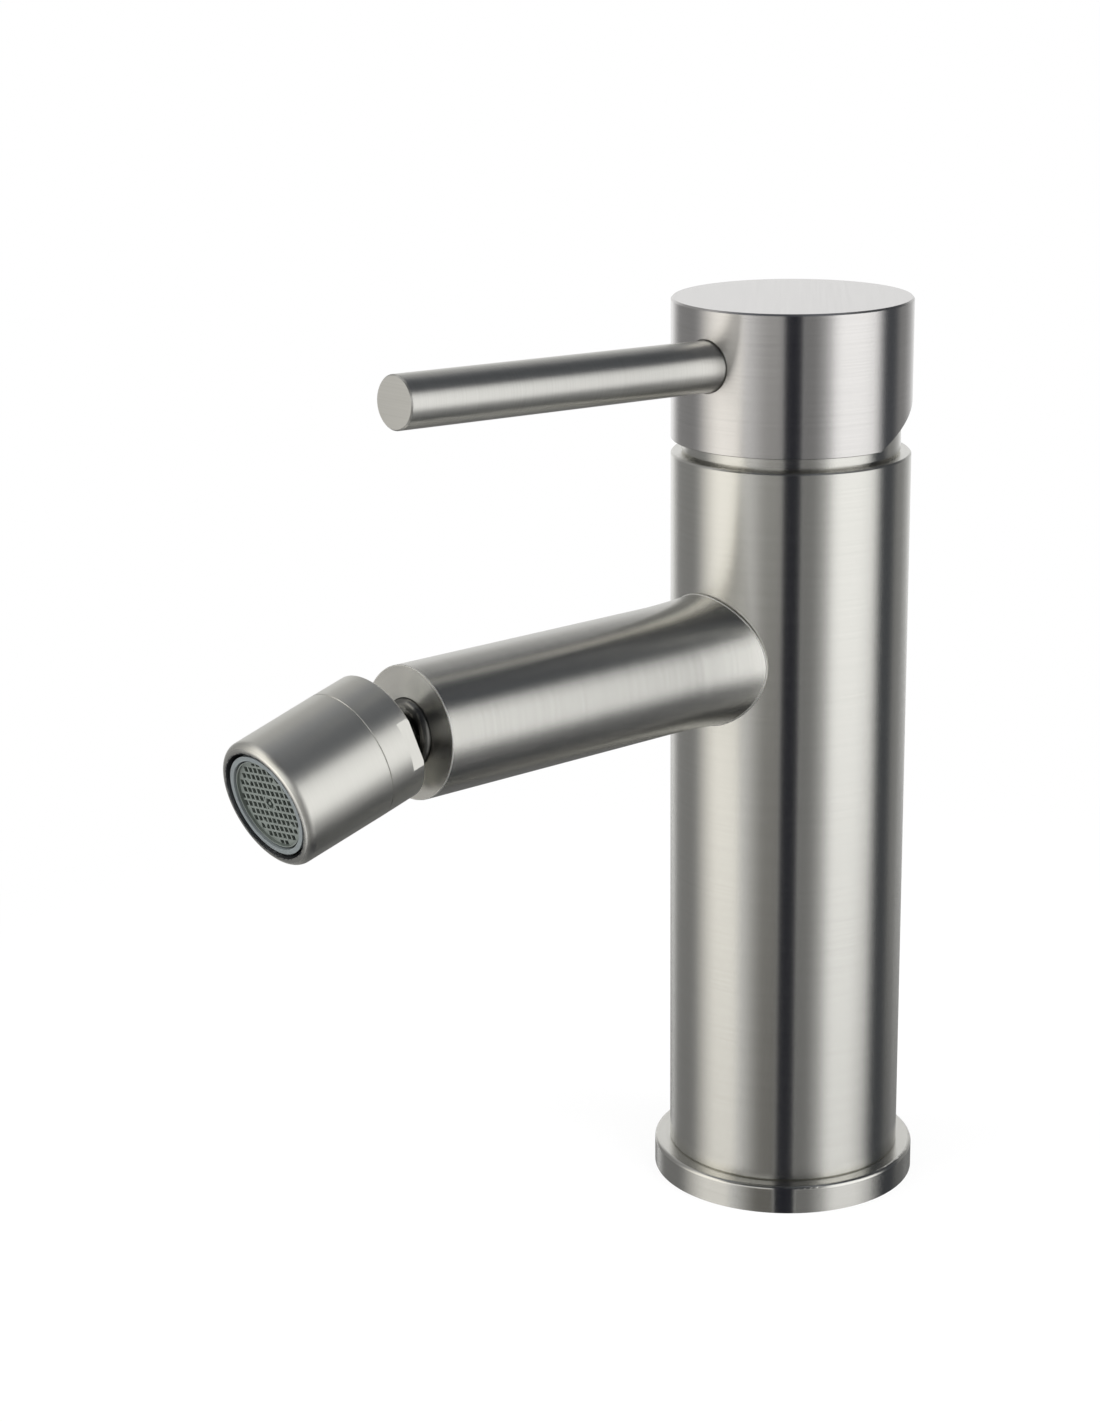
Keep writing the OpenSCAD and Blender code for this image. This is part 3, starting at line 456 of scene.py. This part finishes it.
def card(name, shade, turns, ups, fades, density=1.0, colour="#FFFFFF"):
    """A sheet of one shade, behind the ones before; fades are its left, right, lower and upper edges."""
    distance = CARD_FAR + CARD_GAP * len(cards)
    width, height = turns[1] - turns[0], ups[1] - ups[0]
    columns, rows = max(2, round(width / CARD_STEP)), max(2, round(height / CARD_STEP))
    spread = [(i / columns, j / rows) for j in range(rows + 1) for i in range(columns + 1)]
    points = [CARD_CENTRE + distance * outwards(turns[0] + width * u, ups[0] + height * v) for u, v in spread]
    row = columns + 1
    faces = [(j * row + i, j * row + i + 1, (j + 1) * row + i + 1, (j + 1) * row + i)
             for j in range(rows) for i in range(columns)]
    sheet = bpy.data.meshes.new(name)
    sheet.from_pydata(points, [], faces)
    chart = sheet.uv_layers.new(name="spread")
    for loop in sheet.loops:
        chart.data[loop.index].uv = spread[loop.vertex_index]
    finish, tree = blank(name)
    place = add(tree, "SeparateXYZ", {0: add(tree, "TexCoord").outputs["UV"]}).outputs
    edges = [(0, 0, fades[0] / width), (0, 1, 1 - fades[1] / width),
             (1, 0, fades[2] / height), (1, 1, 1 - fades[3] / height)]
    cover = density
    for direction, start, stop in edges:
        edge = add(tree, "MapRange", {"Value": place[direction], "From Min": start, "From Max": stop},
                   interpolation_type="SMOOTHSTEP").outputs[0]
        cover = add(tree, "Math", {0: edge, 1: cover}, operation="MULTIPLY").outputs[0]
    clear = add(tree, "BsdfTransparent")
    glow = add(tree, "Emission", {"Color": linear(colour), "Strength": shade})
    faded = add(tree, "MixShader", {0: cover, 1: clear.outputs[0], 2: glow.outputs[0]})
    add(tree, "OutputMaterial", {"Surface": faded.outputs[0]})
    sheet.materials.append(finish)
    made = bpy.data.objects.new(name, sheet)
    for kind in ("camera", "diffuse", "transmission", "volume_scatter", "shadow"):
        setattr(made, "visible_" + kind, False)
    scene.collection.objects.link(made)
    cards.append(made)


# Grey and black cards are faintly cool or blue, and the ones by the left lamp faintly warm.
COOL = "#EDF3FF"
BLUE = "#DDE2FF"
WARM = "#FFFCF6"
card("card_behind_camera", 0.03, (-9, 13.5), (-75, 80), (4, 3, 5, 5), colour=BLUE)
card("card_low_gloom", 0.0, (-180, 180), (-90, -14), (0.1, 0.1, 0.1, 22), 0.35)
card("card_front_high", 0.07, (-70, 50), (14, 88), (22, 22, 16, 5), colour=COOL)
card("card_near_left", 0.2, (-55, -7), (-75, 15), (36, 1, 5, 30), colour=WARM)
card("card_near_right", 0.26, (12, 52), (-75, 60), (1, 31, 5, 5))
card("card_right_low", 0.06, (66, 100), (-75, -5), (24, 4, 5, 50), colour=COOL)
card("card_right", 0.085, (84, 126), (-75, 60), (18, 14, 5, 14), colour=COOL)
card("card_back_low", 0.08, (85, 165), (-85, -16), (8, 25, 5, 26), colour=COOL)
card("card_back_low_left", 0.25, (140, 215), (-85, -8), (15, 20, 5, 20))
card("card_back_high", 0.06, (110, 178), (14, 70), (10, 36, 16, 16), colour=COOL)
card("card_back_high_left", 0.34, (150, 260), (20, 66), (15, 20, 15, 16))
card("card_right_high_near", 0.16, (40, 84), (31, 72), (10, 10, 16, 16), colour=COOL)
card("card_right_high", 0.06, (72, 135), (12, 70), (14, 12, 32, 16), colour=COOL)
card("card_right_far", 0.25, (104, 178), (-75, 60), (10, 50, 5, 14))
card("card_far_left", 0.26, (-160, -69), (-75, 40), (28, 40, 5, 5))
card("card_back_wall", 0.86, (120, 240), (-5, 40), (20, 20, 10, 10))
card("card_overhead", 0.2, (-180, 180), (40, 90), (0.1, 0.1, 14, 0.1), colour=COOL)
card("card_underneath", 0.05, (-180, 180), (-90, -48), (0.1, 0.1, 0.1, 15), colour=COOL)

# Lamps: two large soft boxes, left and right of the camera, at a plain level. Their fronts
# are lit sheets too, so that the steel shows them, and the lamps themselves stay out of its
# reflections.
BOX_FAR = 1.1
BOX_SIDE = 0.9
BOX_POWER = 9


def soft_box(name, turn, up):
    """A square lamp that faces the mixer."""
    lamp = bpy.data.lights.new(name, "AREA")
    lamp.energy = BOX_POWER
    lamp.shape = "SQUARE"
    lamp.size = BOX_SIDE
    made = bpy.data.objects.new(name, lamp)
    way = outwards(turn, up)
    made.location = CARD_CENTRE + way * BOX_FAR
    made.rotation_euler = way.to_track_quat("Z", "Y").to_euler()
    made.visible_glossy = False
    scene.collection.objects.link(made)


soft_box("soft_box_left", -70, 40)
soft_box("soft_box_right", 60, 45)
card("soft_box_front_left", 1.3, (-100, -42), (-45, 50), (8, 10, 35, 10), colour=WARM)
card("soft_box_front_right", 1.35, (34, 102), (-45, 40), (10, 30, 35, 8))

# Camera: at the photograph's place, to the right of the spout and above the handle, with a
# short telephoto lens. Its distance, height, pan, tilt and roll were fitted together to the
# edges of the pieces.
CAMERA_FAR = 558.304 * MM
CAMERA_UP = 256.116 * MM
CAMERA_PAN = 4.692
CAMERA_TILT = math.radians(16.244)
CAMERA_ROLL = math.radians(-0.634)
CAMERA_LENS = 76.336
SENSOR_WIDTH = 36

bearing = math.radians(CAMERA_TURN)
heading = math.radians(CAMERA_TURN + CAMERA_PAN)
level_ahead = Vector((-math.sin(heading), math.cos(heading), 0))
ahead = level_ahead * math.cos(CAMERA_TILT) - Vector((0, 0, math.sin(CAMERA_TILT)))
right = ahead.cross(Vector((0, 0, 1))).normalized()
up = right.cross(ahead)
rolled_right = right * math.cos(CAMERA_ROLL) + up * math.sin(CAMERA_ROLL)
rolled_up = up * math.cos(CAMERA_ROLL) - right * math.sin(CAMERA_ROLL)
stand = Matrix((rolled_right, rolled_up, -ahead)).transposed().to_4x4()
stand.translation = Vector((math.sin(bearing) * CAMERA_FAR, -math.cos(bearing) * CAMERA_FAR, CAMERA_UP))
lens = bpy.data.cameras.new("camera")
lens.lens = CAMERA_LENS
lens.sensor_width = SENSOR_WIDTH
camera = bpy.data.objects.new("camera", lens)
camera.matrix_world = stand
scene.collection.objects.link(camera)
scene.camera = camera
